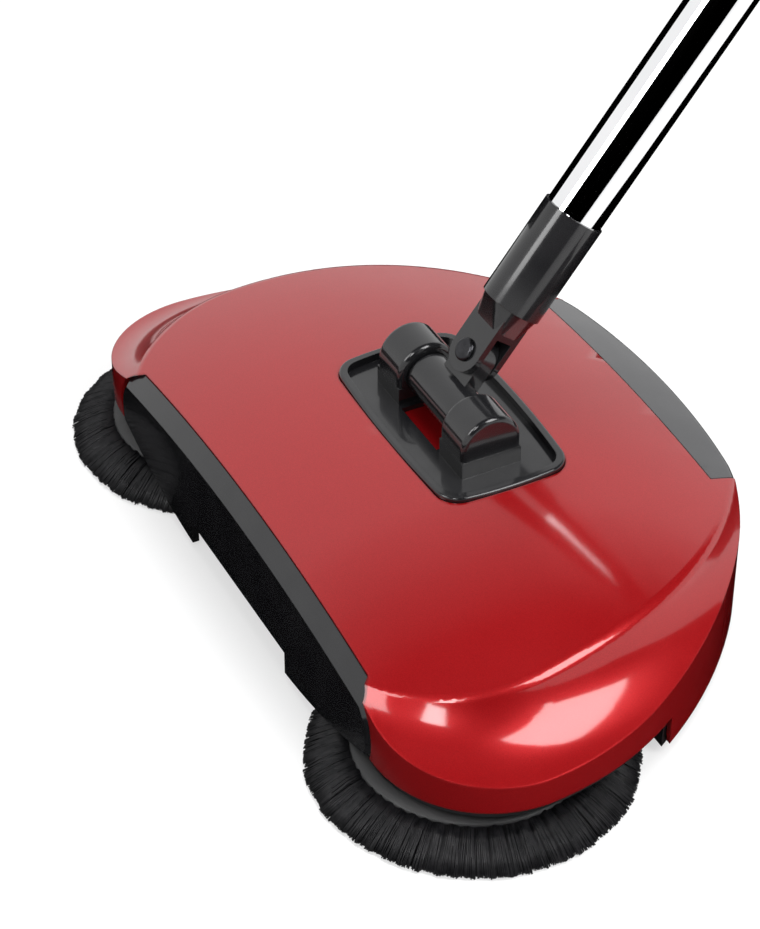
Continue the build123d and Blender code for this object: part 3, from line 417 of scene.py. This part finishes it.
def fan_bed(name, centre, root, reach, root_z):
    """Pleated sheet of the fan's lower strands, so that no floor shows between the tufts."""
    steps = BED_STEPS * SIDE_TUFTS
    count = len(STRAND_SHARES)
    vertices = []
    faces = []
    for step in range(steps):
        turn = 2 * math.pi * step / steps
        pleat = BED_PLEAT * math.cos(turn * SIDE_TUFTS)
        for share in STRAND_SHARES:
            radius = root + (reach - root) * share
            drop = droop(share)
            height = (root_z - BED_BELOW + pleat) * (1 - drop) + BED_TIP_HEIGHT * drop
            vertices.append((centre.x + math.cos(turn) * radius, centre.y + math.sin(turn) * radius, height))
        for ring in range(count - 1):
            here = count * step + ring
            after = count * ((step + 1) % steps) + ring
            faces.append((here, here + 1, after + 1, after))
    bed = plain_mesh(name, vertices, faces)
    bed.data.materials.append(materials["bristle"])
    return bed


def side_brush(hand):
    """Fan of tufts that droops from the ring around the hub to the floor."""
    name = f"{hand}_bristles"
    low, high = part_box(name)
    centre = (low + high) / 2
    reach = (high.x - low.x) / 2
    hub_low, hub_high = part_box(f"{hand}_brush_hub")
    hub = (hub_high.x - hub_low.x) / 2
    outer = hub + RING_WIDTH
    root = outer - TUFT_TUCK
    root_z = hub_low.z + TUFT_TUCK
    on_floor = Vector((centre.x, centre.y, 0))
    draw = random.Random(hand)
    strands = []
    for tuft in range(SIDE_TUFTS):
        tuft_angle = 2 * math.pi * tuft / SIDE_TUFTS
        pleat = draw.uniform(-TUFT_PLEAT, TUFT_PLEAT)
        length = draw.uniform(-TUFT_SHORTFALL, 0.0)
        for _ in range(SIDE_TUFT_STRANDS):
            across = draw.uniform(-1, 1)
            angle = tuft_angle + across * math.pi / SIDE_TUFTS
            fan = angle + across * FAN_SPREAD * math.pi / SIDE_TUFTS + draw.uniform(-FAN_STRAY, FAN_STRAY)
            lift = (1 - across * across) * TUFT_CROWN + pleat + draw.uniform(-STRAND_STRAY, STRAND_STRAY)
            tip = reach - TIP_GAP + length - abs(draw.gauss(0, TIP_STRAY))
            fall = root_z + lift * CROWN_SHED - TIP_HEIGHT
            points = []
            for share in STRAND_SHARES:
                radius = root + (tip - root) * share
                turn = angle + (fan - angle) * share
                height = root_z + lift * min(1, CROWN_START + CROWN_RISE * share) - fall * droop(share)
                place = Vector((math.cos(turn) * radius, math.sin(turn) * radius, max(height, LOWEST)))
                points.append((on_floor + place, STRAND_HALF - STRAND_TAPER * share))
            strands.append(points)
    fan_mesh = strand_tubes(f"{hand}_brush_tufts", strands)
    under = fan_bed(f"{hand}_brush_bed", centre, root, reach - BED_INSET, root_z)
    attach(under, f"{hand}_brush")
    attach(fan_mesh, f"{hand}_brush")
    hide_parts(name)
    low_z, high_z = hub_low.z, hub_high.z
    profile = [(hub - RING_TUCK, low_z), (outer - RING_CHAMFER, low_z), (outer, low_z + RING_CHAMFER),
               (outer, low_z + RING_SIDE_TOP), (outer - RING_SHOULDER_INSET, low_z + RING_SHOULDER),
               (hub + RING_COLLAR, high_z - RING_CHAMFER), (hub - RING_TUCK, high_z - RING_TOP_GAP)]
    ring = ring_mesh(f"{hand}_tuft_ring", centre, profile)
    ring.data.materials.append(materials["black_plastic"])
    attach(ring, f"{hand}_brush")


def roller_brush():
    """Helical rows of tufts on the roller."""
    low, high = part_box("roller_bristles")
    core_low, core_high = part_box("roller_core")
    axis_z = joints["roller_spin"]["pos_m"][2]
    core = (core_high.y - core_low.y) / 2
    reach = (high.y - low.y) / 2
    half = core_high.x
    draw = random.Random(ROLLER_SEED)
    strands = []
    for row in range(ROLLER_ROWS):
        for tuft in range(ROLLER_TUFTS):
            share_x = (tuft + 0.5) / ROLLER_TUFTS
            x = (2 * share_x - 1) * (half - ROLLER_END_GAP)
            turn = 2 * math.pi * (row + share_x) / ROLLER_ROWS
            for _ in range(ROLLER_TUFT_STRANDS):
                spread = draw.uniform(-1, 1)
                slide = draw.uniform(-1, 1)
                tip = reach - ROLLER_TIP_GAP - abs(draw.gauss(0, ROLLER_TIP_STRAY))
                points = []
                for share in ROLLER_STRAND_SHARES:
                    radius = core + (tip - core) * share
                    angle = turn + spread * ROLLER_SPREAD * (1 + share)
                    along = max(-half, min(half, x + slide * ROLLER_SLIDE * (1 + share)))
                    place = Vector((along, math.cos(angle) * radius, axis_z + math.sin(angle) * radius))
                    points.append((place, ROLLER_STRAND_HALF - ROLLER_STRAND_TAPER * share))
                strands.append(points)
    tufts = strand_tubes("roller_tufts", strands)
    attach(tufts, "roller")
    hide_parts("roller_bristles")


def seen_rays(tree, kinds):
    """1 for the given kinds of ray, 0 for the others."""
    path = tree.nodes.new("ShaderNodeLightPath")
    value = path.outputs[kinds[0]]
    for kind in kinds[1:]:
        either = tree.nodes.new("ShaderNodeMath")
        either.operation = "MAXIMUM"
        tree.links.new(value, either.inputs[0])
        tree.links.new(path.outputs[kind], either.inputs[1])
        value = either.outputs[0]
    return value


def white_world():
    """White to the camera and in mirrors, plain grey light for the rest."""
    world = bpy.data.worlds.new("studio")
    scene.world = world
    world.use_nodes = True
    tree = world.node_tree
    light = tree.nodes["Background"]
    light.inputs["Color"].default_value = (*(WORLD_LIGHT,) * 3, 1)
    white = tree.nodes.new("ShaderNodeBackground")
    white.inputs["Color"].default_value = (1, 1, 1, 1)
    mix = tree.nodes.new("ShaderNodeMixShader")
    tree.links.new(seen_rays(tree, SEEN_DIRECTLY), mix.inputs["Fac"])
    tree.links.new(light.outputs[0], mix.inputs[1])
    tree.links.new(white.outputs[0], mix.inputs[2])
    tree.links.new(mix.outputs[0], tree.nodes["World Output"].inputs["Surface"])


def level_card(x_low, y_low, x_high, y_high, z):
    """Corners of a level card."""
    return [(x_low, y_low, z), (x_high, y_low, z), (x_high, y_high, z), (x_low, y_high, z)]


def white_floor():
    """Pale floor that keeps a soft shadow near the part and turns white further out."""
    corners = level_card(-FLOOR_HALF, -FLOOR_HALF, FLOOR_HALF, FLOOR_HALF, 0)
    floor = plain_mesh("floor", corners, ONE_FACE)
    floor.location.z = -FLOOR_DROP
    paint = Shader("floor_paint", (0.82, 0.82, 0.82), 0.9)
    glow = paint.tree.nodes.new("ShaderNodeEmission")
    glow.inputs["Color"].default_value = (1, 1, 1, 1)
    distance = paint.tree.nodes.new("ShaderNodeVectorMath")
    distance.operation = "LENGTH"
    paint.tree.links.new(paint.coordinates.outputs["Object"], distance.inputs[0])
    fade = paint.tree.nodes.new("ShaderNodeMapRange")
    fade.inputs["From Min"].default_value = FLOOR_NEAR
    fade.inputs["From Max"].default_value = FLOOR_FAR
    fade.inputs["To Min"].default_value = FLOOR_GLOW
    paint.tree.links.new(distance.outputs["Value"], fade.inputs["Value"])
    share = paint.tree.nodes.new("ShaderNodeMath")
    share.operation = "MULTIPLY"
    paint.tree.links.new(fade.outputs["Result"], share.inputs[1])
    paint.tree.links.new(seen_rays(paint.tree, SEEN_DIRECTLY), share.inputs[0])
    blend = paint.tree.nodes.new("ShaderNodeMixShader")
    paint.tree.links.new(share.outputs[0], blend.inputs["Fac"])
    paint.tree.links.new(paint.bsdf.outputs[0], blend.inputs[1])
    paint.tree.links.new(glow.outputs[0], blend.inputs[2])
    paint.tree.links.new(blend.outputs[0], paint.tree.nodes["Material Output"].inputs["Surface"])
    floor.data.materials.append(paint.material)


def flag(name, vertices, faces, paint):
    """Card that only mirrors see."""
    card = plain_mesh(name, vertices, faces)
    card.data.materials.append(paint)
    card.visible_camera = False
    card.visible_diffuse = False
    card.visible_shadow = False
    card.visible_transmission = False


def soft_edge_black():
    """Black that fades in along X, so that its mirror image has a soft edge."""
    shader = Shader("flag_soft_edge", (0.0, 0.0, 0.0), 1.0, Specular_IOR_Level=0.0)
    split = shader.tree.nodes.new("ShaderNodeSeparateXYZ")
    shader.tree.links.new(shader.coordinates.outputs["Object"], split.inputs["Vector"])
    fade = shader.tree.nodes.new("ShaderNodeMapRange")
    fade.inputs["From Min"].default_value = FLAG_FADE_START
    fade.inputs["From Max"].default_value = FLAG_FADE_END
    shader.tree.links.new(split.outputs["X"], fade.inputs["Value"])
    shader.feed("Alpha", fade.outputs["Result"])
    return shader.material


def tube_flag(name, start_deg, end_deg, low, high, distance, paint):
    """Curved card around the tube: angles run from the camera's side, positive to the right."""
    along = (Vector(joints["handle_roll"]["pos_m"]) - Vector(joints["handle_pitch"]["pos_m"])).normalized()
    middle = Vector(joints["handle_pitch"]["pos_m"]) + TUBE_MIDDLE * along
    towards = CAMERA_AT - middle
    towards = (towards - towards.dot(along) * along).normalized()
    right = along.cross(towards)
    vertices = []
    for step in range(TUBE_FLAG_STEPS + 1):
        angle = math.radians(start_deg + (end_deg - start_deg) * step / TUBE_FLAG_STEPS)
        out = math.cos(angle) * towards + math.sin(angle) * right
        vertices += [middle + distance * out + low * along, middle + distance * out + high * along]
    faces = [(2 * step, 2 * step + 2, 2 * step + 3, 2 * step + 1) for step in range(TUBE_FLAG_STEPS)]
    flag(name, vertices, faces, paint)


def studio():
    """White tent, soft lamps, and the black flags that give gloss its contrast."""
    white_world()
    white_floor()
    black = Shader("flag_black", (0.0, 0.0, 0.0), 1.0, Specular_IOR_Level=0.0).material
    flag("ceiling_flag", level_card(*CEILING_FLAG), ONE_FACE, soft_edge_black())
    flag("front_floor_flag", level_card(*FRONT_FLOOR_FLAG), ONE_FACE, black)
    flag("back_floor_flag", level_card(*BACK_FLOOR_FLAG), ONE_FACE, black)
    tube_flag("tube_front_flag", *TUBE_FRONT_FLAG, black)
    tube_flag("tube_left_flag", *TUBE_LEFT_FLAG, black)

    top = area_lamp("top_softbox", *TOP_SOFTBOX)
    top.visible_glossy = False
    area_lamp("near_softbox", *NEAR_SOFTBOX)
    area_lamp("front_softbox", *FRONT_SOFTBOX)
    strip = area_lamp("strip_softbox", *STRIP_SOFTBOX)
    strip.visible_diffuse = False


dress_cad()
for side in ("left", "right"):
    side_brush(side)
roller_brush()
set_camera()
studio()
scene.view_settings.view_transform = "Standard"
